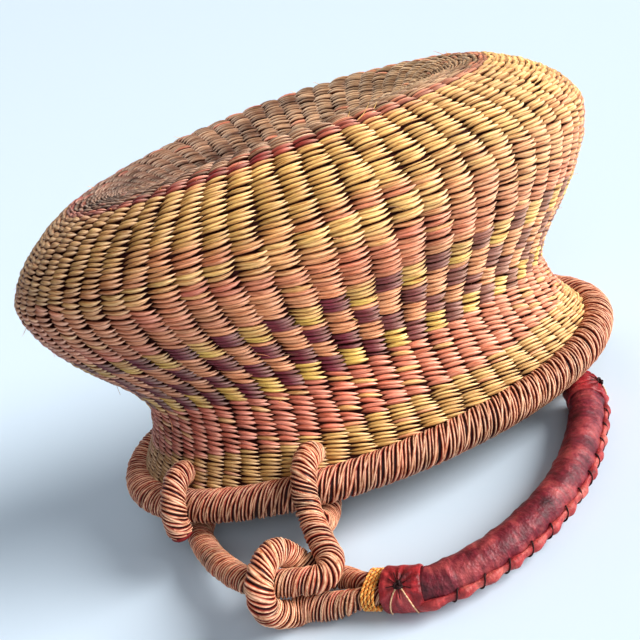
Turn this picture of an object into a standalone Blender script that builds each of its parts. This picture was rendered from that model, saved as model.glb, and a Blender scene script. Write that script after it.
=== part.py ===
"""Twined grass egg basket standing on its rim, with a leather covered handle on two cord yokes.

The basket is modelled as it stands: rim down, creased base up. +X runs along the long way of
the rim, +Z is up. Every size is in metres. The grass wall is a stack of woven bands that
follow one profile, each a solid of its own. The two yokes turn on the rim, and the handle
turns on the yokes, so that yokes, handle and rim form a parallelogram.
"""
from math import asin, ceil, cos, pi, radians, sin, tan

import bpy
from mathutils import Matrix, Vector

# Clearances
GAP = 0.0003
UNDER_RIM_GAP = 0.0005

# Rim: a grass core bound with strands, open where the wall runs in
RIM_LENGTH = 0.236
RIM_WIDTH = 0.140
RIM_RADIUS = 0.0075
RIM_BINDING = 0.0020
WALL_ENTRY_ANGLE = radians(35.0)
ENTRY_RUN = 0.0010

# Woven wall
WALL_THICKNESS = 0.0040
COLUMNS = 64
WAIST_LENGTH = 0.199
WAIST_WIDTH = 0.092
WAIST_HEIGHT = 0.038
BELLY_LENGTH = 0.268
BELLY_WIDTH = 0.123
BELLY_HEIGHT = 0.100
OVAL_LENGTH = 0.195
OVAL_WIDTH = 0.0956
OVAL_HEIGHT = 0.1363
OVAL_END_DROP = 0.0028
CREST_RISE = 0.0027
CREST_FLAT = 0.0009
END_RISE = 0.0008
CREASE_LENGTH = 0.136
CREASE_DROP = 0.0063
CREASE_END_DROP = 0.0015

# Rows of the profile between the named levels: height, length and width shares
RIM_TO_WAIST_SHARES = ((0.217, 0.405, 0.297), (0.398, 0.670, 0.491), (0.700, 0.930, 0.806))
WAIST_TO_BELLY_SHARES = (
    (0.194, 0.188, 0.010), (0.387, 0.478, 0.194), (0.597, 0.739, 0.516), (0.806, 0.922, 0.826))
BELLY_TO_OVAL_SHARES = (
    (0.220, 0.050, -0.036), (0.496, 0.247, 0.073), (0.744, 0.534, 0.400), (0.904, 0.795, 0.693))
# Rows from the oval to the crease: length, width, rise and fall shares
OVAL_TO_CREASE_SHARES = (
    (0.12, 0.084, 0.70, 0.00), (0.30, 0.180, 1.00, 0.00), (0.52, 0.380, 0.90, 0.12),
    (0.72, 0.600, 0.70, 0.45), (0.88, 0.820, 0.35, 0.82), (1.00, 0.970, 0.00, 1.00))

# Yokes: a bound cord hooked round the rim at two feet
FOOT_ANGLES = (radians(214.7), radians(249.7))
CORD_RADIUS = 0.0055
LOOP_SLACK = 0.0016
NOTCH_CLEARANCE = 0.0006
BAR_REACH = 0.0480
BAR_RACK = 0.0316
BAR_REST_GAP = 0.0008
BAR_LEFT_REACH = 0.0105
BAR_RIGHT_REACH = 0.0175
BAR_BEND = 0.0065
LEFT_LEG_LEAD = 0.012
LEFT_BAR_LEAD = 0.018
RIGHT_LEG_LEAD = 0.010
RIGHT_RIM_LEAD = 0.011

# Handle: a grass rope doubled round each bar, bound, cuffed and covered with leather
ARCH_HEIGHT = 0.0646
HANDLE_RADIUS = 0.0077
LEATHER = 0.0016
EYE_RADIUS = 0.0140
STRAND_RADIUS = 0.0036
STRAND_SPACING = 0.0078
LASH_RADIUS = 0.0005
LASH_PITCH = 0.00145
LASH_TURNS = 4
LASH_SLACK = 0.0008
COLLAR_LENGTH = 0.0135
COLLAR_WALL = 0.0008
BACK_COLLAR_SETBACK = 0.006
FLAP_WIDTH = 0.0040
FLAP_WALL = 0.0010
LACE_RADIUS = 0.00035
LACE_STITCH = 0.0105
KNOT_RADIUS = 0.0016
FRONT_KNOT_LEAN = radians(52.0)
BACK_KNOT_LEAN = radians(30.0)

# Arch points between the bars: along the chord and away from it, as shares of the half chord
# and of the arch height
ARCH_SHARES = (
    (-0.854, 0.314), (-0.781, 0.565), (-0.708, 0.718), (-0.511, 0.881), (-0.257, 0.986),
    (0.089, 1.000), (0.408, 0.901), (0.672, 0.752), (0.800, 0.628), (0.880, 0.480),
    (0.921, 0.355))
# Eye points round the bar: along the bar, outward and up, as shares of the eye radius
EYE_FRONT_SHARES = (
    (1.40, 0.22, -0.69), (0.71, 0.20, -0.80), (0.00, 0.19, -0.81), (-0.50, 0.46, -0.70),
    (-0.79, 0.79, -0.25), (-0.82, 0.86, 0.29), (-0.79, 0.54, 0.74), (-0.68, 0.00, 0.89),
    (-0.54, -0.54, 0.69), (-0.38, -0.84, 0.19), (0.00, -0.91, -0.30), (0.50, -0.96, -0.67),
    (0.96, -0.88, -0.79))
EYE_BACK_SHARES = (
    (0.68, 1.32, -0.69), (0.14, 0.89, -0.76), (-0.43, 0.68, -0.64), (-0.82, 0.86, -0.11),
    (-0.82, 0.75, 0.51), (-0.68, 0.23, 0.86), (-0.61, -0.29, 0.83), (-0.50, -0.71, 0.50),
    (-0.29, -0.87, 0.00), (0.07, -0.69, -0.54), (0.50, -0.25, -0.81), (1.00, 0.32, -0.79))

CUFF_RADIUS = HANDLE_RADIUS + GAP + COLLAR_WALL
RIM_LIFT = 2 * CUFF_RADIUS + UNDER_RIM_GAP + RIM_RADIUS
BAR_RISE = 3 * CORD_RADIUS + BAR_REST_GAP - RIM_LIFT
LOOP_RADIUS = RIM_RADIUS + CORD_RADIUS + LOOP_SLACK
CORE_RADIUS = RIM_RADIUS - RIM_BINDING - GAP
SLEEVE_BORE = HANDLE_RADIUS - LEATHER
UP = Vector((0, 0, 1))
COLOURS = {
    "grass_core": (0.55, 0.42, 0.22), "binding": (0.62, 0.25, 0.17), "straw": (0.60, 0.42, 0.12),
    "salmon": (0.60, 0.22, 0.15), "plum": (0.20, 0.06, 0.08), "peach": (0.66, 0.32, 0.15),
    "wine": (0.30, 0.05, 0.05), "tan": (0.50, 0.36, 0.20), "leather": (0.22, 0.02, 0.03),
    "leather_edge": (0.38, 0.05, 0.05), "gold_thread": (0.62, 0.38, 0.08),
    "dark_thread": (0.03, 0.02, 0.02)}
ROUGHNESS = {"leather": 0.42, "leather_edge": 0.5, "gold_thread": 0.6, "dark_thread": 0.8}
PLAIN_ROUGHNESS = 0.75


def clear_scene():
    for item in list(bpy.data.objects):
        bpy.data.objects.remove(item, do_unlink=True)


def material(name):
    found = bpy.data.materials.get(name)
    if found is None:
        found = bpy.data.materials.new(name)
        found.use_nodes = True
        shader = found.node_tree.nodes["Principled BSDF"]
        shader.inputs["Base Color"].default_value = (*COLOURS[name], 1)
        shader.inputs["Roughness"].default_value = ROUGHNESS.get(name, PLAIN_ROUGHNESS)
        shader.inputs["Metallic"].default_value = 0
    return found


def add(name, data, colour, parent):
    item = bpy.data.objects.new(name, data)
    bpy.context.scene.collection.objects.link(item)
    item.parent = parent
    data.materials.append(material(colour))
    return item


def empty(name, location, parent, turn=None):
    item = bpy.data.objects.new(name, None)
    bpy.context.scene.collection.objects.link(item)
    item.parent = parent
    item.location = location
    if turn is not None:
        item.rotation_euler = turn.to_euler()
    return item


def mesh_of(name, points, faces):
    mesh = bpy.data.meshes.new(name)
    mesh.from_pydata(points, [], faces)
    mesh.shade_smooth()
    mesh.set_sharp_from_angle(angle=radians(40.0))
    return mesh


def tube(name, points, radius, colour, parent, sides_step=3, swells=None):
    """A round tube with capped ends along a smooth centre line."""
    curve = bpy.data.curves.new(name, "CURVE")
    curve.dimensions = "3D"
    curve.bevel_depth = radius
    curve.bevel_resolution = sides_step
    curve.use_fill_caps = True
    spline = curve.splines.new("POLY")
    spline.points.add(len(points) - 1)
    for index, (knot, point) in enumerate(zip(spline.points, points)):
        knot.co = (*point, 1)
        knot.radius = 1 if swells is None else swells[index]
    return add(name, curve, colour, parent)


def smooth_route(points, spacing):
    """Points at an even spacing on a smooth curve through the given points."""
    dense = []
    for i in range(len(points) - 1):
        before = points[max(i - 1, 0)]
        start, end = points[i], points[i + 1]
        after = points[min(i + 2, len(points) - 1)]
        for k in range(12):
            u = k / 12
            dense.append(start + 0.5 * u * (
                (end - before) + u * ((2 * before - 5 * start + 4 * end - after)
                                      + u * (3 * (start - end) + after - before))))
    dense.append(points[-1])
    return even(dense, spacing)


def even(dense, spacing):
    lengths = [0]
    for a, b in zip(dense, dense[1:]):
        lengths.append(lengths[-1] + (b - a).length)
    count = max(2, ceil(lengths[-1] / spacing))
    out = []
    at = 0
    for k in range(count + 1):
        want = lengths[-1] * k / count
        while at < len(dense) - 2 and lengths[at + 1] < want:
            at += 1
        span = lengths[at + 1] - lengths[at]
        out.append(dense[at].lerp(dense[at + 1], (want - lengths[at]) / span if span else 0))
    return out


def bezier(a, b, c, d, count):
    out = []
    for k in range(count + 1):
        u = k / count
        v = 1 - u
        out.append(v ** 3 * a + 3 * v * v * u * b + 3 * v * u * u * c + u ** 3 * d)
    return out


# ---- Wall

def rim_point(u):
    return Vector((RIM_LENGTH / 2 * cos(u), RIM_WIDTH / 2 * sin(u), 0))


def rim_out(u):
    return Vector((RIM_WIDTH / 2 * cos(u), RIM_LENGTH / 2 * sin(u), 0)).normalized()


def entry_point(u, run):
    """Outer face of the wall where it leaves the rim, at a distance from the rim's middle."""
    inward = -cos(WALL_ENTRY_ANGLE) * rim_out(u) + sin(WALL_ENTRY_ANGLE) * UP
    across = sin(WALL_ENTRY_ANGLE) * rim_out(u) + cos(WALL_ENTRY_ANGLE) * UP
    return rim_point(u) + run * inward + WALL_THICKNESS / 2 * across


def entry_level():
    run = CORE_RADIUS + GAP
    side = run * cos(WALL_ENTRY_ANGLE) - WALL_THICKNESS / 2 * sin(WALL_ENTRY_ANGLE)
    rise = run * sin(WALL_ENTRY_ANGLE) + WALL_THICKNESS / 2 * cos(WALL_ENTRY_ANGLE)
    return RIM_LENGTH / 2 - side, RIM_WIDTH / 2 - side, rise


def profile_rows():
    """Each row: half length, half width, height at the sides, height at the ends."""
    root = entry_level()
    waist = (WAIST_LENGTH / 2, WAIST_WIDTH / 2, WAIST_HEIGHT)
    belly = (BELLY_LENGTH / 2, BELLY_WIDTH / 2, BELLY_HEIGHT)
    oval = (OVAL_LENGTH / 2, OVAL_WIDTH / 2, OVAL_HEIGHT)
    rows = []
    zones = ((root, waist, RIM_TO_WAIST_SHARES), (waist, belly, WAIST_TO_BELLY_SHARES),
             (belly, oval, BELLY_TO_OVAL_SHARES))
    for low, high, shares in zones:
        for tall, long, wide in (*shares, (1, 1, 1)):
            height = low[2] + (high[2] - low[2]) * tall
            drop = OVAL_END_DROP * tall if high is oval else 0
            rows.append((low[0] + (high[0] - low[0]) * long, low[1] + (high[1] - low[1]) * wide,
                         height, height - drop))
    for long, wide, rise, fall in OVAL_TO_CREASE_SHARES:
        side = OVAL_HEIGHT + CREST_RISE * rise - CREASE_DROP * fall
        end = OVAL_HEIGHT - OVAL_END_DROP + END_RISE * rise - CREASE_END_DROP * fall
        rows.append((oval[0] + (CREASE_LENGTH / 2 - oval[0]) * long, oval[1] * (1 - wide),
                     side, end))
    return rows


ROWS = profile_rows()
# Rows at which the weft colour changes
STRAW_TOP = 3
SALMON_TOP = 5
CHECKER_TOP = 8
PEACH_TOP = 11
UPPER_STRAW_TOP = 15
WINE_TOP = 16
LAST_ROW = len(ROWS) + 1


def row_point(u, row):
    if row == 0:
        return entry_point(u, CORE_RADIUS + GAP)
    if row == 1:
        return entry_point(u, RIM_RADIUS + ENTRY_RUN)
    half_length, half_width, side, end = ROWS[row - 2]
    height = end + (side - end) * sin(u) ** 2
    limit = OVAL_HEIGHT + CREST_RISE - CREST_FLAT
    return Vector((half_length * cos(u), half_width * sin(u), min(height, limit)))


def wall_point(u, place):
    low = min(int(place), LAST_ROW - 1)
    return row_point(u, low).lerp(row_point(u, low + 1), place - low)


def edge_share(row, side):
    """How far, in rows, a band's edge stands back from a colour change."""
    steps = [(row_point(u, row + side) - row_point(u, row)).length
             for u in (0, pi / 4, pi / 2)]
    return GAP / 2 / min(steps)


def wall_normal(u, place):
    """Outward direction of the wall's face, shared by the bands that meet there."""
    if place <= 1:
        return sin(WALL_ENTRY_ANGLE) * rim_out(u) + cos(WALL_ENTRY_ANGLE) * UP
    up_run = wall_point(u, min(place + 0.5, LAST_ROW)) - wall_point(u, max(place - 0.5, 1))
    around = wall_point(u + pi / COLUMNS, place) - wall_point(u - pi / COLUMNS, place)
    return around.cross(up_run).normalized()


def band_places(first, last):
    start = first if first == 0 else first + edge_share(first, 1)
    stop = last if last == LAST_ROW else last - edge_share(last, -1)
    return [start] + list(range(first + 1, last)) + [stop]


def cap_faces(top, count):
    """Close the narrow ring at the crease by joining its two long sides."""
    half = count // 2
    faces = [(top, top + 1, top + count - 1)]
    for k in range(1, half - 1):
        faces.append((top + k, top + k + 1, top + count - k - 1, top + count - k))
    faces.append((top + half - 1, top + half, top + half + 1))
    return faces


def band(name, first, last, colour, parent):
    """A ring of the wall between two rows: an outer face, an inner face and two edges."""
    places = band_places(first, last)
    angles = [2 * pi * k / COLUMNS for k in range(COLUMNS)]
    outer = [wall_point(u, place) for place in places for u in angles]
    inner = [wall_point(u, place) - WALL_THICKNESS * wall_normal(u, place)
             for place in places for u in angles]
    skin = len(outer)
    top = (len(places) - 1) * COLUMNS
    faces = []
    for j in range(len(places) - 1):
        for k in range(COLUMNS):
            nxt = (k + 1) % COLUMNS
            low = j * COLUMNS
            face = (low + k, low + nxt, low + COLUMNS + nxt, low + COLUMNS + k)
            faces.append(face)
            faces.append(tuple(skin + index for index in reversed(face)))
    for k in range(COLUMNS):
        nxt = (k + 1) % COLUMNS
        faces.append((k, skin + k, skin + nxt, nxt))
        if last != LAST_ROW:
            faces.append((top + k, top + nxt, skin + top + nxt, skin + top + k))
    if last == LAST_ROW:
        for face in cap_faces(top, COLUMNS):
            faces.append(face)
            faces.append(tuple(skin + index for index in reversed(face)))
    return add(name, mesh_of(name, outer + inner, faces), colour, parent)


def cut(item, cutter):
    cutter.hide_render = True
    cutter.display_type = "WIRE"
    hole = item.modifiers.new(cutter.name, "BOOLEAN")
    hole.operation = "DIFFERENCE"
    hole.solver = "EXACT"
    hole.object = cutter


# ---- Rim

def ring_solid(name, section, colour, parent):
    """A section carried round the rim's centre line; the section turns anticlockwise."""
    count = len(section)
    points = []
    for k in range(COLUMNS):
        u = 2 * pi * k / COLUMNS
        for out, rise in section:
            points.append(rim_point(u) + out * rim_out(u) + rise * UP)
    faces = []
    for k in range(COLUMNS):
        here, there = k * count, (k + 1) % COLUMNS * count
        for j in range(count):
            nxt = (j + 1) % count
            faces.append((here + j, there + j, there + nxt, here + nxt))
    return add(name, mesh_of(name, points, faces), colour, parent)


def circle_section(radius, sides):
    return [(radius * cos(2 * pi * k / sides), radius * sin(2 * pi * k / sides))
            for k in range(sides)]


def binding_section():
    """A C: the binding's section, open for the wall."""
    inner = CORE_RADIUS + GAP
    half_slot = WALL_THICKNESS / 2 + GAP
    mouth = pi - WALL_ENTRY_ANGLE
    outline = []
    for radius, backward in ((RIM_RADIUS, False), (inner, True)):
        start = mouth + asin(half_slot / radius)
        turn = 2 * pi - 2 * asin(half_slot / radius)
        angles = [start + turn * k / 16 for k in range(17)]
        for angle in reversed(angles) if backward else angles:
            outline.append((radius * cos(angle), radius * sin(angle)))
    return outline


def rim(parent):
    ring_solid("rim_core", circle_section(CORE_RADIUS, 12), "grass_core", parent)
    ring_solid("rim_binding", binding_section(), "binding", parent)


# ---- Yokes

def foot_points():
    return [rim_point(angle) for angle in FOOT_ANGLES]


def foot_frame():
    """Middle of the two feet, unit vector between them and half their distance."""
    left, right = foot_points()
    return (left + right) / 2, (right - left).normalized(), (right - left).length / 2


def loop_arc(along, start, stop):
    """Part of a loop round the rim, seen along the hinge; start and stop in degrees."""
    count = 16
    out = []
    for k in range(count + 1):
        angle = radians(start + (stop - start) * k / count)
        out.append(Vector((along, LOOP_RADIUS * cos(angle), LOOP_RADIUS * sin(angle))))
    return out


def yoke_line(lift=1):
    """Centre line of a yoke: along the hinge, outward, up.

    The left leg leaves its loop below. The right one leaves above (lift 1) or below (-1).
    """
    half = foot_frame()[2]
    left = loop_arc(-half, -10, 275)
    leave = Vector((0.35, -sin(radians(275)), cos(radians(275)))).normalized()
    bar_left = Vector((BAR_RACK - BAR_LEFT_REACH, BAR_REACH, BAR_RISE))
    corner = Vector((BAR_RACK + BAR_RIGHT_REACH, BAR_REACH, BAR_RISE))
    along = Vector((1, 0, 0))
    left_leg = bezier(left[-1], left[-1] + LEFT_LEG_LEAD * leave,
                      bar_left - LEFT_BAR_LEAD * along, bar_left, 12)
    right = [Vector((p[0], p[1], lift * p[2])) for p in loop_arc(half, 35, 325)]
    arrive = Vector((0, -sin(radians(35)), lift * cos(radians(35))))
    target = right[0] - RIGHT_RIM_LEAD * arrive
    leg = (target - corner).normalized()
    turn = along.angle(leg)
    cut_back = BAR_BEND * tan(turn / 2)
    lead = 4 / 3 * tan(turn / 4) * BAR_BEND
    start, end = corner - cut_back * along, corner + cut_back * leg
    bend = bezier(start, start + lead * along, end - lead * leg, end, 8)
    right_leg = bezier(end, end + RIGHT_LEG_LEAD * leg, target, right[0], 8)
    bar = [bar_left.lerp(start, k / 4) for k in range(1, 4)]
    return left + left_leg[1:] + bar + bend + right_leg[1:-1] + right


def local(point):
    """From along, outward, up to the hinge's own axes."""
    return Vector((point[0], -point[1], point[2]))


def yoke(name, hinge, lift):
    return tube(name, [local(p) for p in yoke_line(lift)], CORD_RADIUS, "binding", hinge)


def notches(item, frame, turn):
    """Clear a path through the wall for the four loops."""
    for index, foot in enumerate(foot_points()):
        for side in (1, -1):
            bpy.ops.mesh.primitive_torus_add(
                major_radius=LOOP_RADIUS, minor_radius=CORD_RADIUS + NOTCH_CLEARANCE,
                major_segments=32, minor_segments=12)
            cutter = bpy.context.object
            cutter.name = "loop_path_%d%s" % (index, "a" if side > 0 else "b")
            cutter.parent = frame
            cutter.location = side * foot
            cutter.rotation_euler = (turn @ Matrix.Rotation(pi / 2, 3, "Y")).to_euler()
            cut(item, cutter)


# ---- Handle

def handle_points():
    """The arch's own points, in the handle's axes: along the bar, outward, up."""
    middle, along, half = foot_frame()
    outward = Vector((along.y, -along.x, 0))
    chord = -2 * middle
    reach = chord.length / 2
    side = Vector((chord.y, -chord.x, 0)).normalized()
    direction = chord.normalized()
    level = CUFF_RADIUS - RIM_LIFT - BAR_RISE
    out = []
    for far, away in ARCH_SHARES:
        world = (1 + far) * reach * direction + away * ARCH_HEIGHT * side
        out.append(Vector((world.dot(along), world.dot(outward), level)))
    return out


def far_start():
    """The back bar's place seen from the front bar."""
    middle, along, half = foot_frame()
    outward = Vector((along.y, -along.x, 0))
    chord = -2 * middle
    return Vector((chord.dot(along), chord.dot(outward), 0))


def strand_pair(a, b):
    """Sideways step between the two strands of a neck that runs from a to b."""
    run = (b - a).normalized()
    return Vector((run.y, -run.x, 0)) * STRAND_SPACING / 2


def arch_line():
    return smooth_route(handle_points(), HANDLE_RADIUS / 4)


def handle_layout():
    """Arch line and how much of each end the lashing and the collar take."""
    line = arch_line()
    step = (line[1] - line[0]).length
    lash = ceil(LASH_TURNS * LASH_PITCH / step) + 1
    collar = lash + ceil(COLLAR_LENGTH / step)
    return line, lash, collar


def collar_setback():
    """Steps by which the back collar stands off, because the neck bends there."""
    line = arch_line()
    return ceil(BACK_COLLAR_SETBACK / (line[1] - line[0]).length)


def eye_route(shares, start, thin):
    """An eye's points, drawn in where they meet the neck."""
    last = len(shares) - 1
    return [(start + EYE_RADIUS * Vector(share), (1 + thin) / 2 if k in (0, last) else 1)
            for k, share in enumerate(shares)]


def core_line():
    """The rope's centre line with its swelling: tail, eye, arch, eye, tail."""
    line, lash, collar = handle_layout()
    last = len(line) - 1
    tail = lash + 1
    seat = collar - (collar - lash) // 3
    step_front = strand_pair(line[0], line[lash])
    step_back = strand_pair(line[last], line[last - lash])
    thin = STRAND_RADIUS / CORD_RADIUS
    full = (SLEEVE_BORE - GAP) / CORD_RADIUS
    route = []
    for k in range(tail, -1, -2):
        route.append((line[k] + step_front, thin))
    route += eye_route(EYE_FRONT_SHARES, Vector((0, 0, 0)), thin)[::-1]
    for k in range(0, last + 1, 2):
        from_end = min(k, last - k)
        share = min(max((from_end - tail - 2) / (seat - tail - 2), 0), 1)
        side = step_front if k < last / 2 else step_back
        route.append((line[k] - (1 - share) * side, thin + (full - thin) * share))
    route += eye_route(EYE_BACK_SHARES, far_start(), thin)
    for k in range(last, last - tail - 1, -2):
        route.append((line[k] + step_back, thin))
    return route


def smooth_core():
    """Even points on the rope's centre line, thickness carried as a fourth value."""
    route = core_line()
    points = [Vector((*point, swell * CORD_RADIUS)) for point, swell in route]
    dense = smooth_route(points, CORD_RADIUS / 2)
    return [Vector(p[:3]) for p in dense], [p[3] / CORD_RADIUS for p in dense]


def side_frame(line, k):
    """Direction of a line at one of its points, and the way to its outer side."""
    ahead = (line[min(k + 1, len(line) - 1)] - line[max(k - 1, 0)]).normalized()
    out = Vector((-ahead.y, ahead.x, 0)).normalized()
    return ahead, out


def hollow_tube(name, line, radii, wall, colour, parent, sides=20):
    """An open sleeve along a line: a skin thickened inward."""
    points = []
    for k, radius in enumerate(radii):
        ahead, out = side_frame(line, k)
        for j in range(sides):
            angle = 2 * pi * j / sides
            points.append(local(line[k] + radius * (cos(angle) * out + sin(angle) * UP)))
    faces = []
    for k in range(len(radii) - 1):
        for j in range(sides):
            nxt = (j + 1) % sides
            faces.append((k * sides + j, (k + 1) * sides + j,
                          (k + 1) * sides + nxt, k * sides + nxt))
    item = add(name, mesh_of(name, points, faces), colour, parent)
    shell = item.modifiers.new("wall", "SOLIDIFY")
    shell.thickness = wall
    shell.offset = -1
    shell.use_even_offset = True
    return item


def leather(parent):
    line, lash, collar = handle_layout()
    last = len(line) - 1
    setback = collar_setback()
    tuck = (collar - lash) // 3
    inner = range(collar - tuck, last - collar - setback + tuck + 1, 3)
    sleeve = [line[k] for k in inner]
    hollow_tube("leather_sleeve", sleeve, [HANDLE_RADIUS] * len(sleeve), LEATHER,
                "leather", parent)
    for name, part in (("collar_front", line[lash:collar + 1:2]),
                       ("collar_back", line[last - collar - setback:last - lash - setback + 1:2])):
        hollow_tube(name, part, [CUFF_RADIUS] * len(part), COLLAR_WALL, "leather", parent)
    return sleeve


def strip(name, line, start, wide, tall, colour, parent, lean):
    """A flat band laid along a line on the sleeve, square in section."""
    points = []
    for k in range(len(line)):
        ahead, out = side_frame(line, k)
        normal = cos(lean) * out + sin(lean) * UP
        across = -sin(lean) * out + cos(lean) * UP
        for far, side in ((0, -1), (tall, -1), (tall, 1), (0, 1)):
            points.append(local(line[k] + (start + far) * normal + side * wide / 2 * across))
    faces = [(0, 1, 2, 3)]
    for k in range(len(line) - 1):
        for j in range(4):
            nxt = (j + 1) % 4
            faces.append((4 * k + j, 4 * k + 4 + j, 4 * k + 4 + nxt, 4 * k + nxt))
    top = 4 * (len(line) - 1)
    faces.append((top + 3, top + 2, top + 1, top))
    return add(name, mesh_of(name, points, faces), colour, parent)


def seam(parent, sleeve):
    inner = sleeve[3:-3]
    lean = radians(-12.0)
    strip("seam_flap", inner, HANDLE_RADIUS + GAP, FLAP_WIDTH, FLAP_WALL, "leather_edge",
          parent, lean)
    height = HANDLE_RADIUS + 2 * GAP + FLAP_WALL + LACE_RADIUS
    line = even(inner, LACE_STITCH / 2)
    points = []
    for k in range(1, len(line) - 1):
        ahead, out = side_frame(line, k)
        normal = cos(lean) * out + sin(lean) * UP
        across = -sin(lean) * out + cos(lean) * UP
        side = 1 if k % 2 else -1
        points.append(local(line[k] + height * normal + side * FLAP_WIDTH / 3 * across))
    tube("seam_lacing", points, LACE_RADIUS, "dark_thread", parent, 1)


def winding(line, side):
    """One unbroken winding round the two strands of a neck."""
    centre = (line[0] + line[-1]) / 2
    ahead = (line[-1] - line[0]).normalized()
    reach = STRAND_RADIUS + LASH_SLACK + LASH_RADIUS
    out = side.normalized()
    up = ahead.cross(out)
    points = []
    for k in range(24 * LASH_TURNS + 1):
        u = k / (24 * LASH_TURNS)
        angle = 2 * pi * LASH_TURNS * u
        spread = STRAND_SPACING / 2 * max(-1, min(1, 2 * cos(angle)))
        along = (u - 0.5) * LASH_TURNS * LASH_PITCH
        points.append(centre + along * ahead + (spread + reach * cos(angle)) * out
                      + reach * sin(angle) * up)
    return points


def least_self_gap(points, radius):
    """Smallest distance between turns of a winding, skin to skin."""
    least = None
    for i, a in enumerate(points):
        for b in points[i + 12:]:
            gap = (a - b).length - 2 * radius
            least = gap if least is None else min(least, gap)
    return least


def lashings(parent):
    line, lash, collar = handle_layout()
    last = len(line) - 1
    for name, part in (("lashing_front", line[:lash + 1]),
                       ("lashing_back", line[last:last - lash - 1:-1])):
        points = winding(part, strand_pair(part[0], part[-1]))
        print(name, "least gap between turns, m:", least_self_gap(points, LASH_RADIUS))
        tube(name, [local(p) for p in points], LASH_RADIUS, "gold_thread", parent, 1)


def knots(parent):
    line, lash, collar = handle_layout()
    last = len(line) - 1
    middle = (lash + collar) // 2
    reach = CUFF_RADIUS + GAP + KNOT_RADIUS
    back = last - middle - collar_setback()
    for name, k, lean in (("collar_knot_front", middle, FRONT_KNOT_LEAN),
                          ("collar_knot_back", back, BACK_KNOT_LEAN)):
        bpy.ops.mesh.primitive_uv_sphere_add(segments=12, ring_count=8, radius=KNOT_RADIUS)
        item = bpy.context.object
        item.name = name
        item.data.shade_smooth()
        item.data.materials.append(material("dark_thread"))
        item.parent = parent
        ahead, out = side_frame(line, k)
        item.location = local(line[k] + reach * (cos(lean) * out + sin(lean) * UP))


def handle(parent):
    points, swells = smooth_core()
    tube("handle_core", [local(p) for p in points], CORD_RADIUS, "binding", parent, 3, swells)
    sleeve = leather(parent)
    seam(parent, sleeve)
    lashings(parent)
    knots(parent)


def centre_on_floor(frame):
    """Move the whole basket so that its box stands centred on the origin."""
    bpy.context.view_layer.update()
    graph = bpy.context.evaluated_depsgraph_get()
    low = [None] * 3
    high = [None] * 3
    for item in bpy.data.objects:
        if item.type == "EMPTY" or item.hide_render:
            continue
        shape = item.evaluated_get(graph)
        mesh = shape.to_mesh()
        for vertex in mesh.vertices:
            place = item.matrix_world @ vertex.co
            for axis in range(3):
                low[axis] = place[axis] if low[axis] is None else min(low[axis], place[axis])
                high[axis] = place[axis] if high[axis] is None else max(high[axis], place[axis])
        shape.to_mesh_clear()
    frame.location.x -= (low[0] + high[0]) / 2
    frame.location.y -= (low[1] + high[1]) / 2
    frame.location.z -= low[2]


def main():
    clear_scene()
    frame = empty("basket_frame", (0, 0, RIM_LIFT), None)
    rim(frame)
    lower = band("lower_straw_band", 0, STRAW_TOP, "straw", frame)
    band("salmon_band", STRAW_TOP, SALMON_TOP, "salmon", frame)
    band("checker_band", SALMON_TOP, CHECKER_TOP, "plum", frame)
    band("peach_band", CHECKER_TOP, PEACH_TOP, "peach", frame)
    band("upper_straw_band", PEACH_TOP, UPPER_STRAW_TOP, "straw", frame)
    band("wine_stripe", UPPER_STRAW_TOP, WINE_TOP, "wine", frame)
    band("base_weave", WINE_TOP, LAST_ROW, "tan", frame)
    middle, along, half = foot_frame()
    turn = Matrix((along, Vector((-along.y, along.x, 0)), UP)).transposed()
    notches(lower, frame, turn)
    front = empty("yoke_front_hinge", middle, frame, turn)
    back = empty("yoke_back_hinge", -middle, frame, turn)
    yoke("yoke_front", front, 1)
    yoke("yoke_back", back, -1)
    link = empty("handle_hinge", local(Vector((BAR_RACK, BAR_REACH, BAR_RISE))), front)
    handle(link)
    centre_on_floor(frame)


main()
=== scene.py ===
"""Looks of the twined grass egg basket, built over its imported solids. Metres, Z up."""

from math import ceil, cos, pi, radians, sin, tan

import bpy
import numpy as np
from mathutils import Matrix, Vector, noise


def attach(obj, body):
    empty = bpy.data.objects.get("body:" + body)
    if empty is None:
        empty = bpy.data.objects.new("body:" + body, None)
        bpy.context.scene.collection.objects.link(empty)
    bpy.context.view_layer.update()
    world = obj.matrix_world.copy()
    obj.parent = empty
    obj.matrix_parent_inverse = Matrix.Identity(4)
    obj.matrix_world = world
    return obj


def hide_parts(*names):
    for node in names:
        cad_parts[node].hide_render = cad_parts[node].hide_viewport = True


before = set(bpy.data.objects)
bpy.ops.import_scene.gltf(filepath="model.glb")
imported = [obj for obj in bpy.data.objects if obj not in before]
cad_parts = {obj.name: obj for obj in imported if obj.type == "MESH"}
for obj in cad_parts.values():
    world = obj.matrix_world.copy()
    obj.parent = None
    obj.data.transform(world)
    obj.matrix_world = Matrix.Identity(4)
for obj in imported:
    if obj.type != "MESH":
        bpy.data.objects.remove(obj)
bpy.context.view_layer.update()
RNG = np.random.default_rng(11)

# ---- Places and sizes shared with the solids

RIM_LIFT = 0.0256
FRAME = Vector((0.0, 0.02786, RIM_LIFT))
GAP = 0.0003
RIM_A, RIM_B, RIM_R = 0.118, 0.070, 0.0075
RIM_BINDING = 0.0020
ENTRY_ANGLE = radians(35.0)
ENTRY_RUN = 0.0010
WALL = 0.0040
COLUMNS = 64
WAIST = (0.0995, 0.046, 0.038)
BELLY = (0.134, 0.0615, 0.100)
OVAL = (0.0975, 0.0478, 0.1363)
OVAL_END_DROP, CREST_RISE, END_RISE = 0.0028, 0.0027, 0.0008
CREASE_HALF, CREASE_DROP, CREASE_END_DROP = 0.068, 0.0063, 0.0015
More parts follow.
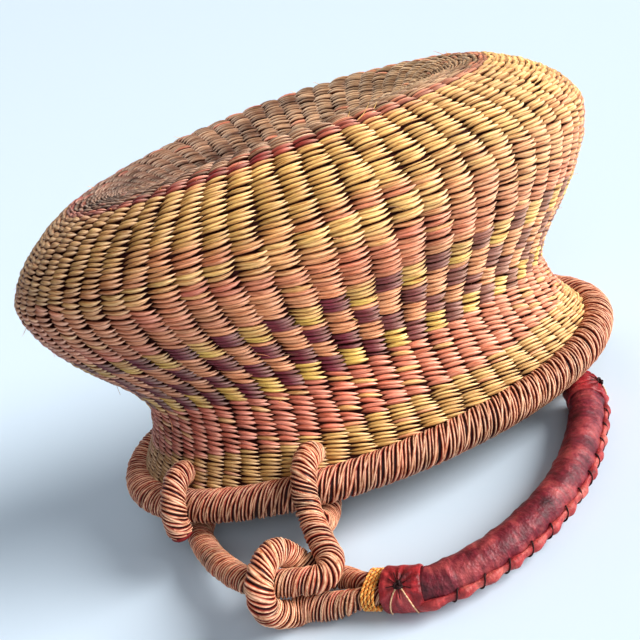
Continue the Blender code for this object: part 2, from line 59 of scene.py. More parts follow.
# Rows between those: shares of the height, the half length and the half width
RIM_TO_WAIST = ((0.217, 0.405, 0.297), (0.398, 0.670, 0.491), (0.700, 0.930, 0.806))
WAIST_TO_BELLY = (
    (0.194, 0.188, 0.010), (0.387, 0.478, 0.194), (0.597, 0.739, 0.516), (0.806, 0.922, 0.826))
BELLY_TO_OVAL = (
    (0.220, 0.050, -0.036), (0.496, 0.247, 0.073), (0.744, 0.534, 0.400), (0.904, 0.795, 0.693))
# Rows over the crest: shares of the half length, the half width, the rise and the drop
OVAL_TO_CREASE = (
    (0.12, 0.084, 0.70, 0.00), (0.30, 0.180, 1.00, 0.00), (0.52, 0.380, 0.90, 0.12),
    (0.72, 0.600, 0.70, 0.45), (0.88, 0.820, 0.35, 0.82), (1.00, 0.970, 0.00, 1.00))
FOOT_ANGLES = (radians(214.7), radians(249.7))
CORD_R, LOOP_SLACK = 0.0055, 0.0016
BAR_REACH, BAR_RACK, BAR_REST_GAP = 0.0480, 0.0316, 0.0008
BAR_LEFT, BAR_RIGHT, BAR_BEND = 0.0105, 0.0175, 0.0065
LEFT_LEG_LEAD, LEFT_BAR_LEAD, RIGHT_LEG_LEAD, RIGHT_RIM_LEAD = 0.012, 0.018, 0.010, 0.011
# Degrees round the rim where a yoke's left and right loops start and stop
LEFT_LOOP, RIGHT_LOOP = (-10, 275), (35, 325)
ARCH_HEIGHT, HANDLE_R, LEATHER = 0.0646, 0.0077, 0.0016
EYE_R, STRAND_R, STRAND_SPACING = 0.0140, 0.0036, 0.0078
LASH_R, LASH_PITCH, LASH_TURNS, LASH_SLACK = 0.0005, 0.00145, 4, 0.0008
COLLAR_LENGTH, COLLAR_WALL, BACK_SETBACK = 0.0135, 0.0008, 0.006
KNOT_LEAN = {"front": radians(52.0), "back": radians(30.0)}
# The arch from eye to eye: shares of half its span and of its height
ARCH_SHARES = (
    (-0.854, 0.314), (-0.781, 0.565), (-0.708, 0.718), (-0.511, 0.881), (-0.257, 0.986),
    (0.089, 1.000), (0.408, 0.901), (0.672, 0.752), (0.800, 0.628), (0.880, 0.480),
    (0.921, 0.355))
# The eyes round the bars: along, outward and up, in shares of EYE_R
EYE_FRONT = (
    (1.40, 0.22, -0.69), (0.71, 0.20, -0.80), (0.00, 0.19, -0.81), (-0.50, 0.46, -0.70),
    (-0.79, 0.79, -0.25), (-0.82, 0.86, 0.29), (-0.79, 0.54, 0.74), (-0.68, 0.00, 0.89),
    (-0.54, -0.54, 0.69), (-0.38, -0.84, 0.19), (0.00, -0.91, -0.30), (0.50, -0.96, -0.67),
    (0.96, -0.88, -0.79))
EYE_BACK = (
    (0.68, 1.32, -0.69), (0.14, 0.89, -0.76), (-0.43, 0.68, -0.64), (-0.82, 0.86, -0.11),
    (-0.82, 0.75, 0.51), (-0.68, 0.23, 0.86), (-0.61, -0.29, 0.83), (-0.50, -0.71, 0.50),
    (-0.29, -0.87, 0.00), (0.07, -0.69, -0.54), (0.50, -0.25, -0.81), (1.00, 0.32, -0.79))
CUFF_R = HANDLE_R + GAP + COLLAR_WALL
BAR_RISE = 3 * CORD_R + BAR_REST_GAP - RIM_LIFT
LOOP_R = RIM_R + CORD_R + LOOP_SLACK
CORE_R = RIM_R - RIM_BINDING - GAP
UP = Vector((0, 0, 1))
VERTICAL = np.array((0, 0, 1.0))


# ---- Colours and small helpers

def lin(r, g, b):
    """Linear colour of a screen colour of 0 to 255."""
    out = []
    for value in (r, g, b):
        c = value / 255
        out.append(c / 12.92 if c <= 0.04045 else ((c + 0.055) / 1.055) ** 2.4)
    return np.array(out)


STRAW_LOW = lin(236, 194, 118)
STRAW = lin(246, 200, 118)
OLIVE = lin(206, 160, 88)
SALMON = lin(232, 142, 118)
CORAL = lin(230, 128, 100)
PEACH = lin(246, 172, 122)
PLUM = lin(130, 50, 64)
WINE = lin(150, 48, 44)
TAN = lin(150, 114, 86)
BARK, CHAFF = lin(106, 70, 48), lin(212, 174, 138)
LEMON = lin(248, 210, 106)
RIM_RED = lin(176, 74, 66)
# Painted shade between strands: the colour of the stakes and of the cores under the wraps
GAP_SHADE_DARK = lin(42, 10, 8)
# Cream of the tops of the wrapped strands: worn-off dye and a painted highlight
CREAM = lin(255, 222, 182)
# Painted light: the paler lit +X side, and the painted highlight at the stitch tips
LIT_SIDE_PALE, STITCH_TIP_HIGHLIGHT = lin(214, 192, 150), lin(255, 244, 224)
GOLD = (lin(222, 132, 52), lin(246, 190, 104))
SEAM_THREAD, KNOT_THREAD = lin(44, 16, 18), lin(40, 14, 16)
KNOT_END, LOOSE_THREAD = lin(52, 18, 20), lin(222, 182, 144)
# From deep to pale
ROPE_PALETTE = (lin(116, 22, 24), lin(168, 48, 40), lin(206, 88, 64), lin(224, 126, 92),
                lin(240, 184, 140))
GRIP_LEATHER = (lin(44, 4, 14), lin(112, 26, 40), lin(190, 84, 82))
EDGE_LEATHER = (lin(104, 18, 24), lin(170, 52, 52), lin(220, 118, 102))
COLLAR_LEATHER = (lin(92, 8, 16), lin(164, 38, 44), lin(220, 98, 92))
# How far the dark side of painted shade turns red
SHADE_WARMTH = np.array((0.72, 1.25, 1.40))
# Painted shade at the start of each stitch: darker and redder
STITCH_START_SHADE = np.array((0.86, 0.62, 0.50))
# Painted shade of the -X side, away from the key light
WEST_SHADE = np.array((0.52, 0.58, 0.50))


def mixed(a, b, share):
    share = np.asarray(share)[..., None]
    return a * (1 - share) + b * share


def unit(v):
    return v / np.maximum(np.linalg.norm(v, axis=-1, keepdims=True), 1e-12)


def angles(count):
    """Angles of count even steps once round."""
    return np.arange(count) / count * 2 * pi


def half_turn(angle):
    """The same angle between -pi and pi."""
    return (angle + pi) % (2 * pi) - pi


def curve(a, b, c, d, f):
    """The point at share f of the smooth curve from b to c, between a and d."""
    return b + 0.5 * f * ((c - a) + f * ((2 * a - 5 * b + 4 * c - d) + f * (3 * (b - c) + d - a)))


def arc(path):
    """Length along a path at each of its points."""
    steps = np.linalg.norm(np.diff(path, axis=0), axis=1)
    return np.concatenate([[0], np.cumsum(steps)])


def read_off(at, s, values):
    """Rows of values that stand at the places s, read off at other places."""
    return np.stack([np.interp(at, s, column) for column in np.asarray(values).T], -1)


def add(name, data):
    item = bpy.data.objects.new(name, data)
    bpy.context.scene.collection.objects.link(item)
    return item


class Batch:
    """Tubes gathered as arrays and made into one mesh."""

    def __init__(self):
        self.verts, self.quads, self.uvs, self.tints = [], [], [], []
        self.count = 0

    def rings(self, rings, tint, along, closed=False, shade=None, crown=0.0):
        """rings (n, m, s, 3), tint (n, m, 3), along (n, m): n tubes of m rings of s corners.

        shade is painted shade and light: a factor on the tint for each corner of a ring; its dark
        side turns red.
        crown is how far the top of each tube turns cream: dye worn off there, and a painted
        highlight.
        """
        n, m, s, _ = rings.shape
        self.verts.append(rings.reshape(-1, 3))
        shade = np.ones(s) if shade is None else shade
        warm = shade[:, None] ** np.where(shade[:, None] < 1, SHADE_WARMTH, 1.0)
        worn_and_highlight = crown * np.clip((shade / shade.max() - 0.86) / 0.14, 0, 1)
        self.tints.append(mixed(tint[:, :, None] * warm, CREAM, worn_and_highlight).reshape(-1, 3))
        i = np.arange(m if closed else m - 1)
        ii, jj = np.meshgrid(i, np.arange(s), indexing="ij")
        nxt_i, nxt_j = (ii + 1) % m, (jj + 1) % s
        quad = np.stack([ii * s + jj, nxt_i * s + jj, nxt_i * s + nxt_j, ii * s + nxt_j], -1)
        quad = quad.reshape(1, -1, 4) + (np.arange(n) * m * s).reshape(-1, 1, 1)
        self.quads.append(quad.reshape(-1, 4) + self.count)
        step = along[:, -1:] - along[:, -2:-1]
        run = np.concatenate([along, along[:, -1:] + step], axis=1)
        u0, u1 = run[:, ii.ravel()], run[:, ii.ravel() + 1]
        v0 = np.broadcast_to(jj.ravel() / s, u0.shape)
        v1 = v0 + 1 / s
        uv = np.stack([np.stack([u0, v0], -1), np.stack([u1, v0], -1),
                       np.stack([u1, v1], -1), np.stack([u0, v1], -1)], 2)
        self.uvs.append(uv.reshape(-1, 2))
        self.count += n * m * s

    def one(self, rings, tint, along, **more):
        """One tube: rings (m, s, 3), one tint or one a ring, along (m)."""
        self.rings(rings[None], np.broadcast_to(tint, (1, len(rings), 3)), along[None], **more)

    def make(self, name, material, body, node=None):
        """The piece, riding on a body; node is the solid it stands in for."""
        verts = np.concatenate(self.verts).astype(np.float32)
        quads = np.concatenate(self.quads).astype(np.int32)
        mesh = bpy.data.meshes.new(name)
        mesh.vertices.add(len(verts))
        mesh.vertices.foreach_set("co", verts.ravel())
        mesh.loops.add(quads.size)
        mesh.loops.foreach_set("vertex_index", quads.ravel())
        mesh.polygons.add(len(quads))
        mesh.polygons.foreach_set("loop_start", np.arange(0, quads.size, 4, dtype=np.int32))
        mesh.update(calc_edges=True)
        layer = mesh.uv_layers.new(name="strand")
        layer.data.foreach_set("uv", np.concatenate(self.uvs).astype(np.float32).ravel())
        tint = mesh.color_attributes.new("tint", "FLOAT_COLOR", "POINT")
        colours = np.ones((len(verts), 4), dtype=np.float32)
        colours[:, :3] = np.concatenate(self.tints)
        tint.data.foreach_set("color", colours.ravel())
        mesh.polygons.foreach_set("use_smooth", np.ones(len(quads), dtype=bool))
        mesh.materials.append(material)
        item = add(name, mesh)
        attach(item, body)
        if node:
            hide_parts(node)


# ---- Materials

def graph(name):
    made = bpy.data.materials.new(name)
    made.use_nodes = True
    tree = made.node_tree
    return made, tree, tree.nodes["Principled BSDF"]


def node(tree, kind, **values):
    """A new node; each value is a property of it or the default of one of its inputs."""
    made = tree.nodes.new(kind)
    for key, value in values.items():
        if hasattr(made, key) and key not in made.inputs:
            setattr(made, key, value)
        else:
            made.inputs[key].default_value = value
    return made


def ramp(tree, source, low, high, to_low, to_high):
    """A value carried from one range over to another."""
    made = tree.nodes.new("ShaderNodeMapRange")
    for index, value in enumerate((low, high, to_low, to_high), start=1):
        made.inputs[index].default_value = value
    tree.links.new(source, made.inputs[0])
    return made.outputs[0]


def joined(tree, kind, operation, a, b, second=1):
    """Two sources put through one node of arithmetic."""
    made = node(tree, kind, operation=operation)
    tree.links.new(a, made.inputs[0])
    tree.links.new(b, made.inputs[second])
    return made.outputs[0]


def scaled(tree, colour, factor):
    return joined(tree, "ShaderNodeVectorMath", "SCALE", colour, factor, "Scale")


def times(tree, a, b):
    return joined(tree, "ShaderNodeMath", "MULTIPLY", a, b)


def on_strand(tree, scale):
    """Stretched coordinates of the strand layer: along the strand, and round it."""
    uv = node(tree, "ShaderNodeUVMap", uv_map="strand")
    made = node(tree, "ShaderNodeMapping", Scale=scale)
    tree.links.new(uv.outputs[0], made.inputs[0])
    return made.outputs[0]


def in_object(tree):
    return tree.nodes.new("ShaderNodeTexCoord").outputs["Object"]


def cloudy(tree, places, **values):
    made = node(tree, "ShaderNodeTexNoise", **values)
    tree.links.new(places, made.inputs["Vector"])
    return made.outputs[0]


def coloured(tree, source, low, middle, high):
    """A value turned into a colour by three stops, each a place and a colour."""
    made = tree.nodes.new("ShaderNodeValToRGB")
    tree.links.new(source, made.inputs[0])
    stops = made.color_ramp.elements
    for index, (place, colour) in enumerate((low, high)):
        stops[index].position, stops[index].color = place, (*colour, 1)
    stops.new(middle[0]).color = (*middle[1], 1)
    return made.outputs[0]


def dress(tree, shader, colour, rough, height, strength, distance, gloss):
    """Colour, roughness, relief and gloss put on a shader."""
    bump = node(tree, "ShaderNodeBump", Strength=strength, Distance=distance)
    tree.links.new(height, bump.inputs["Height"])
    for source, key in ((colour, "Base Color"), (rough, "Roughness"), (bump.outputs[0], "Normal")):
        tree.links.new(source, shader.inputs[key])
    shader.inputs["Specular IOR Level"].default_value = gloss


def grass(name, rough=0.42, bump=0.00040, streak=(130, 11, 1)):
    """Dyed grass: the strand's own tint with fine lengthwise streaks, dull and bright patches."""
    made, tree, shader = graph(name)
    tint = node(tree, "ShaderNodeVertexColor", layer_name="tint")
    fine = cloudy(tree, on_strand(tree, streak), Scale=1.0, Detail=3.0, Roughness=0.6)
    coarse = cloudy(tree, on_strand(tree, (200, 4, 1)), Scale=1.0, Detail=2.0)
    patch = cloudy(tree, in_object(tree), Scale=38.0, Detail=2.0)
    streaks = coloured(tree, fine, (0.34, (0.56, 0.34, 0.22)), (0.46, (0.98, 0.90, 0.80)),
                       (0.66, (1.36, 1.40, 1.44)))
    dyed = joined(tree, "ShaderNodeVectorMath", "MULTIPLY", tint.outputs["Color"], streaks)
    light = times(tree, ramp(tree, coarse, 0.3, 0.7, 0.86, 1.10),
                  ramp(tree, patch, 0.3, 0.7, 0.88, 1.08))
    dull = ramp(tree, fine, 0.3, 0.7, rough + 0.12, rough - 0.10)
    dress(tree, shader, scaled(tree, dyed, light), dull, fine, 0.75, bump, 0.22)
    return made


def leather(name, dark, mid, pale, rough):
    """Dyed leather: creased grain in patches from dark to pale, paler on the ridges of its creases
    and darker in their folds.
    """
    made, tree, shader = graph(name)
    where = in_object(tree)
    cloud = cloudy(tree, where, Scale=95.0, Detail=5.0, Roughness=0.65)
    pores = cloudy(tree, where, Scale=1500.0, Detail=3.0)
    creases = cloudy(tree, on_strand(tree, (620, 5, 1)), Scale=1.0, Detail=4.0, Roughness=0.6)
    grain = node(tree, "ShaderNodeTexVoronoi", Scale=900.0)
    tree.links.new(where, grain.inputs["Vector"])
    colours = coloured(tree, cloud, (0.30, dark), (0.50, mid), (0.74, pale))
    # Darker in the folds of the creases and paler on their ridges
    colours = scaled(tree, colours, ramp(tree, creases, 0.3, 0.7, 0.52, 1.22))
    dull = ramp(tree, cloud, 0.3, 0.7, rough + 0.10, rough - 0.06)
    height = times(tree, ramp(tree, grain.outputs["Distance"], 0.0, 0.8, 0.2, 1.0),
                   ramp(tree, pores, 0.2, 0.8, 0.6, 1.0))
    height = times(tree, height, ramp(tree, creases, 0.3, 0.7, 0.3, 1.0))
    dress(tree, shader, colours, dull, height, 0.55, 0.0006, 0.34)
    return made


# ---- Wall shape, as in the solids but smooth between the rows

def wall_table():
    """Rows from the rim to the crease: half length, half width, height at the sides and ends."""
    rows = []
    for run in (CORE_R + GAP, RIM_R + ENTRY_RUN):
        side = run * cos(ENTRY_ANGLE) - WALL / 2 * sin(ENTRY_ANGLE)
        rise = run * sin(ENTRY_ANGLE) + WALL / 2 * cos(ENTRY_ANGLE)
        rows.append((RIM_A - side, RIM_B - side, rise, rise))
    root = rows[0][:3]
    for low, high, shares in ((root, WAIST, RIM_TO_WAIST), (WAIST, BELLY, WAIST_TO_BELLY),
                              (BELLY, OVAL, BELLY_TO_OVAL)):
        for tall, long, wide in (*shares, (1, 1, 1)):
            height = low[2] + (high[2] - low[2]) * tall
            drop = OVAL_END_DROP * tall if high is OVAL else 0
            rows.append((low[0] + (high[0] - low[0]) * long, low[1] + (high[1] - low[1]) * wide,
                         height, height - drop))
    for long, wide, rise, fall in OVAL_TO_CREASE:
        rows.append((OVAL[0] + (CREASE_HALF - OVAL[0]) * long, OVAL[1] * (1 - wide),
                     OVAL[2] + CREST_RISE * rise - CREASE_DROP * fall,
                     OVAL[2] - OVAL_END_DROP + END_RISE * rise - CREASE_END_DROP * fall))
    return np.array(rows)


TABLE = wall_table()
LAST = len(TABLE) - 1


def surf(u, p):
    """Points of the wall's outer face; u angle, p row place, any shapes that broadcast."""
    u, p = np.broadcast_arrays(np.asarray(u, float), np.asarray(p, float))
    p = np.clip(p, 0, LAST)
    i = np.clip(p.astype(int), 0, LAST - 1)
    row = curve(TABLE[np.maximum(i - 1, 0)], TABLE[i], TABLE[i + 1],
                TABLE[np.minimum(i + 2, LAST)], (p - i)[..., None])
    z = row[..., 3] + (row[..., 2] - row[..., 3]) * np.sin(u) ** 2
    return np.stack([row[..., 0] * np.cos(u), row[..., 1] * np.sin(u), z], -1) + np.array(FRAME)


def surf_normal(u, p):
    around = surf(u + 0.01, p) - surf(u - 0.01, p)
    up = surf(u, p + 0.1) - surf(u, p - 0.1)
    return unit(np.cross(around, up))


def even_places(start, stop, count):
    """Places of the edges of count courses of equal width between two rows."""
    p = np.linspace(start, stop, 400)
    path = sum(surf(angle, p) for angle in (-pi / 2, -pi / 4, -pi / 2 + 0.3)) / 3
    length = arc(path)
    return np.interp(np.linspace(0, length[-1], count + 1), length, p)


# ---- Colours of the stitches

# Zones: node, first row, last row, number of courses
ZONES = (("lower_straw_band", 0.75, 3, 9), ("salmon_band", 3, 5, 10), ("checker_band", 5, 8, 18),
         ("peach_band", 8, 11, 14), ("upper_straw_band", 11, 15, 17), ("wine_stripe", 15, 16, 2),
         ("base_weave", 16, LAST - 0.02, 17))
COLUMN_STEP = 2 * pi / COLUMNS


def checker_tint(course, odd):
    """Courses count up from the salmon band; odd and even columns change about."""
    top = 17 - course
    if top < 4:
        return (LEMON if top > 2 else STRAW) if odd else PLUM
    if top < 6:
        return LEMON if odd and top == 4 else PEACH
    if top < 10:
        return PLUM if odd else PEACH
    if top < 14:
        return PEACH if odd else PLUM
    return PLUM if odd else LEMON


def patches(course, seed):
    """Slow change of colour from column to column and course to course, -1 to 1."""
    col = np.arange(COLUMNS) * COLUMN_STEP
    out = 0
    for k, (turns, rate) in enumerate(((3, 0.35), (7, -0.22), (13, 0.6), (21, 0.9))):
        out = out + np.sin(turns * col + rate * course + seed * (k + 1.7)) / (1 + 0.35 * k)
    return out / 2.6


def stitch_tints(zone, course, count):
    """One colour a column for one course."""
    pick = RNG.random(COLUMNS)
    share = (course + 0.5) / count

    def blots(base, slow, seed, quick):
        return np.clip(base + slow * patches(course, seed) + quick * (pick - 0.5), 0, 1)

    if zone == "lower_straw_band":
        out = mixed(STRAW_LOW, OLIVE, np.clip(pick * 1.3 - 0.4, 0, 1))
        out[pick > 0.93] = mixed(STRAW_LOW, SALMON, 0.6)
        if course >= count - 1:
            out[pick > 0.5] = mixed(STRAW_LOW, SALMON, 0.7)
    elif zone == "salmon_band":
        out = mixed(SALMON, CORAL, pick)
        out[pick > 0.90] = mixed(SALMON, STRAW, 0.7)
    elif zone == "checker_band":
        out = np.array([checker_tint(course, k % 2) for k in range(COLUMNS)])
    elif zone == "peach_band":
        out = mixed(PEACH, CORAL, blots(0.30, 0.75, 2.0, 0.5))
        gold = np.clip(2.6 * (share - 0.62 + 0.34 * patches(course, 5.0)), 0, 1)
        out = mixed(out, STRAW, np.maximum(gold, 0.6 * (RNG.random(COLUMNS) < 0.06)))
    elif zone == "upper_straw_band":
        out = mixed(STRAW, OLIVE, blots(0.35, 0.6, 3.1, 0.7) * 0.85)
        rust = np.clip(2.2 * (0.28 - share + 0.30 * patches(course + 12, 5.0)), 0, 1)
        out = mixed(out, CORAL, rust * 0.85)
        near = np.clip(5 * (share - 0.86), 0, 1) * (RNG.random(COLUMNS) < 0.35)
        out = mixed(out, CORAL, 0.7 * near)
    elif zone == "wine_stripe":
        out = mixed(WINE, CORAL, np.clip(pick * 1.5 - 0.6 + 0.3 * course, 0, 1))
    else:
        out = mixed(BARK, CHAFF, blots(0.42, 0.5, 7.0, 0.8))
        out = mixed(out, CORAL, 0.6 * (RNG.random(COLUMNS) < (0.25 if course < 2 else 0.03)))
    return out * (0.86 + 0.26 * RNG.random((COLUMNS, 1)))


def outer_tints(tints, t):
    """Colours along the outer stitches, which start darker and redder in painted shade and end
    pale in a painted highlight.

    The wall has painted shade towards -X and painted light, paler, towards +X.
    """
    # Painted shade towards -X, away from the key light, and painted light, paler, towards +X
    east = np.cos(np.arange(COLUMNS) * COLUMN_STEP)
    west_shade = np.clip((-east - 0.05) / 0.90, 0, 1)[:, None]
    tints = 0.94 * tints * (1 - west_shade * WEST_SHADE)
    tints = mixed(tints, LIT_SIDE_PALE, np.clip(east / 0.80, 0, 1) * 0.30)
    # Painted shade at the start of each stitch, where it dives under its neighbour, and painted
    # light towards its tip
    painted_light_along = np.interp(t, (0, 0.2, 0.6, 1), (0.40, 0.80, 1.04, 1.34))
    tint = tints.reshape(-1, 1, 3) * painted_light_along[:, None]
    # Painted shade: the start of each stitch darker and redder
    tint = mixed(tint, tint * STITCH_START_SHADE, np.clip((0.45 - t) / 0.45, 0, 1) * 0.5)
    # Painted highlight: the tip of each stitch turns pale
    pale = np.clip((t - 0.55) / 0.45, 0, 1) * 0.55
    return mixed(tint, tint * 0.35 + STITCH_TIP_HIGHLIGHT * 0.65, pale)


# ---- Stitches of the wall

# Columns that a stitch spans, more of them where they are narrow, and the play in that
SPAN, SPAN_NARROW, SPAN_PLAY = 1.30, 0.34, 0.26
# Column widths: the wide end and the range of narrow ones, and that of a stitch of full depth
NARROW_WIDTH, NARROW_RANGE, FULL_WIDTH = 0.0098, 0.0060, 0.0105
COLUMN_PHASE = -0.60
# Outer stitches: how deep they start, how far they rise, the play in that, their half depth
SINK, STAND, STAND_PLAY, THICK = 0.00230, 0.00285, 0.00050, 0.00104
# Inner stitches: how deep they lie, how far they bow inwards, their half depth
INNER_DEPTH, INNER_BOW, INNER_THICK = 0.0029, 0.0009, 0.0005
BASE_SLIM = 0.70
# How far a stitch stands up along its run: deep where it starts, high almost to its tip
ARCH_AT = (0.0, 0.10, 0.25, 0.45, 0.70, 0.88, 1.0)
ARCH_LIFT = (0.0, 0.34, 0.62, 0.86, 1.0, 0.92, 0.62)
# How far it leaves its course line along its run, in half courses: high on the wall, and
# near the rim, where it slants down
SWOOP_AT = (0.0, 0.15, 0.30, 0.45, 0.60, 0.80, 1.0)
SWOOP_HIGH = (0.10, 0.34, 0.36, 0.16, -0.06, -0.12, 0.22)
SWOOP_LOW = (1.35, 1.22, 0.90, 0.45, -0.05, -0.78, -1.45)
T_OUT = np.array([0.0, 0.05, 0.14, 0.28, 0.46, 0.66, 0.83, 0.94, 1.0])
T_IN = np.array([0.0, 0.2, 0.5, 0.8, 1.0])


def plump(t, blunt, point):
    """Girth along a stitch, 1 where it is fullest; blunt and point are powers at its ends."""
    shape = np.maximum(t, 0) ** blunt * np.maximum(1 - t, 0) ** point
    peak = blunt / (blunt + point)
    return shape / (peak ** blunt * (1 - peak) ** point)


def stitches(batch, edges, tints, outer=True, slim=1.0):
    """The stitches of some courses: edges are their row places, tints (courses, columns, 3).

    slim below 1 leaves more of the stakes, dark with painted shade, to be seen between the
    courses.
    """
    courses = len(edges) - 1
    t, sides = (T_OUT, 8) if outer else (T_IN, 4)
    low, high = edges[:-1, None, None], edges[1:, None, None]
    middle, half = (low + high) / 2, (high - low) / 2
    col = np.arange(COLUMNS)[None, :, None]

    def chance(*more):
        return RNG.random((courses, COLUMNS, 1, *more))

    wobble = chance() - 0.5
    tilt = chance() - 0.5
    wander = 0.10 * np.sin(col * 2.4 + 1.3) * np.sin(low * 1.7) + COLUMN_PHASE
    width = np.linalg.norm(surf(col * COLUMN_STEP + COLUMN_STEP / 2, middle)
                           - surf(col * COLUMN_STEP - COLUMN_STEP / 2, middle), axis=-1)
    narrow = np.clip((NARROW_WIDTH - width) / NARROW_RANGE, 0, 1)
    spread = SPAN + SPAN_NARROW * narrow + SPAN_PLAY * (chance() - 0.5)
    u = (col + wander + (t - 0.48) * spread) * COLUMN_STEP
    upper = np.clip((low - 4) / 6, 0, 1)
    shift = (upper * np.interp(t, SWOOP_AT, SWOOP_HIGH)
             + (1 - upper) * np.interp(t, SWOOP_AT, SWOOP_LOW))
    curl = np.stack([patches(k, 9.0) for k in 0.5 * (edges[:-1] + edges[1:])])[..., None]
    shift = shift + 0.36 * wobble + (0.8 * tilt + 0.5 * curl) * (2 * t - 1)
    bow = (chance() - 0.5) * 0.8
    place = middle + (shift + bow * (1 - 4 * (t - 0.5) ** 2)) * half
    centre = surf(u, place)
    rise = surf(u, place + half) - surf(u, place - half)
    normal = surf_normal(u, place)
    tall = np.linalg.norm(rise, axis=-1, keepdims=True) / 2
    rise = unit(rise)
    size = 0.84 + 0.34 * chance()
    size = np.where(chance() < 0.006, 0.35, size)
    ring = angles(sides) - pi / 2
    c, s = np.cos(ring), np.sin(ring)
    if outer:
        bulge = np.clip(width[..., None] / FULL_WIDTH, 0.55, 1.1)
        arch = np.interp(t, ARCH_AT, ARCH_LIFT)[:, None]
        lift = -SINK * bulge + STAND * bulge * arch + STAND_PLAY * (chance(1) - 0.5)
        thick = THICK * (0.22 + 0.78 * plump(t, 0.5, 0.8)[:, None])
        broad = (plump(t, 0.85, 0.85) * size * 1.12)[..., None]
        tall = tall * broad * (1 + 0.16 * narrow[..., None]) * slim
        tint = outer_tints(tints, t)
        # Painted shade: each stitch dark at its edges and in the gaps, bright on its top, brighter
        # on its upper edge
        shade = (0.05 + 1.08 * np.clip(0.12 + 0.95 * s, 0, 1) ** 2.0) * (1 + 0.16 * c)
    else:
        lift = -INNER_DEPTH - INNER_BOW * np.sin(pi * t)[:, None]
        thick = np.full((len(t), 1), INNER_THICK)
        tall = tall * 0.9
        tint = np.repeat(0.7 * tints.reshape(-1, 1, 3), len(t), axis=1)
        shade = None
    centre = centre + lift * normal
    body = np.sign(s) * np.abs(s) ** 0.9
    rings = (centre[..., None, :] + tall[..., None, :] * rise[..., None, :] * c[:, None]
             + thick[..., None, :] * normal[..., None, :] * body[:, None])
    n = courses * COLUMNS
    along = (t * width).reshape(n, -1) + RNG.random((n, 1)) * 3
    batch.rings(rings.reshape(n, len(t), sides, 3), tint, along, shade=shade)


def stakes(batch):
    """The ribbed sheet of stakes that the wefts are twined on, dark with painted shade between the
    wefts.
    """
    around, tall = COLUMNS * 4, 90
    p = np.linspace(0.3, LAST - 0.02, tall)
    uu, pp = np.meshgrid(angles(around), p, indexing="ij")
    base, normal = surf(uu, pp), surf_normal(uu, pp)
    rib = 0.0006 * np.cos(uu * COLUMNS)[..., None]
    outer = base + normal * (-0.0024 + rib)
    inner = base + normal * (-0.0034 - rib)
    # One ring of corners for each angle: up the outer face and down the inner one
    batch.one(np.concatenate([outer, inner[:, ::-1]], axis=1), GAP_SHADE_DARK * 2,
              np.arange(around) * 0.002, closed=True)


def closing_seam(batch):
    """The twisted strand that joins the two sides of the base along its crease."""
    u = np.linspace(0.02, pi - 0.02, 120)
    path = (surf(u, LAST) + surf(-u, LAST)) / 2
    path[:, 2] -= 0.0006
    wrap(batch, path, 0.0019, 0.0034, 2, (0.7 * TAN, TAN, 1.15 * TAN), hand=1, per_turn=16,
         height=0.0011, seed=61, width=0.46)


def wall():
    straw = grass("twined_grass")
    shell = Batch()
    stakes(shell)
    shell.make("stakes", grass("stake_grass", 0.8), "basket")
    for node_name, first, last, count in ZONES:
        edges = even_places(first, last, count)
        tints = np.array([stitch_tints(node_name, k, count) for k in range(count)])
        batch = Batch()
        stitches(batch, edges, tints, slim=BASE_SLIM if node_name == "base_weave" else 1.0)
        stitches(batch, edges, tints, outer=False)
        if node_name == "base_weave":
            closing_seam(batch)
        batch.make("weft_" + node_name, straw, "basket", node_name)


# ---- Tubes and wraps along a path

def sideways(ahead):
    """Level directions at right angles to some others."""
    return unit(np.stack([ahead[:, 1], -ahead[:, 0], 0 * ahead[:, 0]], -1))


def frames(path):
    """Tangent and two cross directions carried without twist along a path."""
    ahead = np.roll(path, -1, axis=0) - np.roll(path, 1, axis=0)
    ahead[0], ahead[-1] = path[1] - path[0], path[-1] - path[-2]
    tangent = unit(ahead)
    side = np.cross(tangent[0], VERTICAL)
    if np.linalg.norm(side) < 0.1:
        side = np.cross(tangent[0], (1.0, 0, 0))
    sides = [unit(side)]
    for t in tangent[1:]:
        sides.append(unit(sides[-1] - np.dot(sides[-1], t) * t))
    side = np.array(sides)
    return tangent, side, np.cross(tangent, side)


def hoops(path, radius, side, other, sides):
    """Rings of corners round a path; radius is one value or one a point."""
    ring = angles(sides)
    radius = np.broadcast_to(np.asarray(radius, float), (len(path),))
    return path[:, None] + radius[:, None, None] * (
        np.cos(ring)[:, None] * side[:, None] + np.sin(ring)[:, None] * other[:, None])


def tube(batch, path, radius, tint, sides=6):
    path = np.asarray(path, float)
    batch.one(hoops(path, radius, *frames(path)[1:], sides), tint, arc(path))


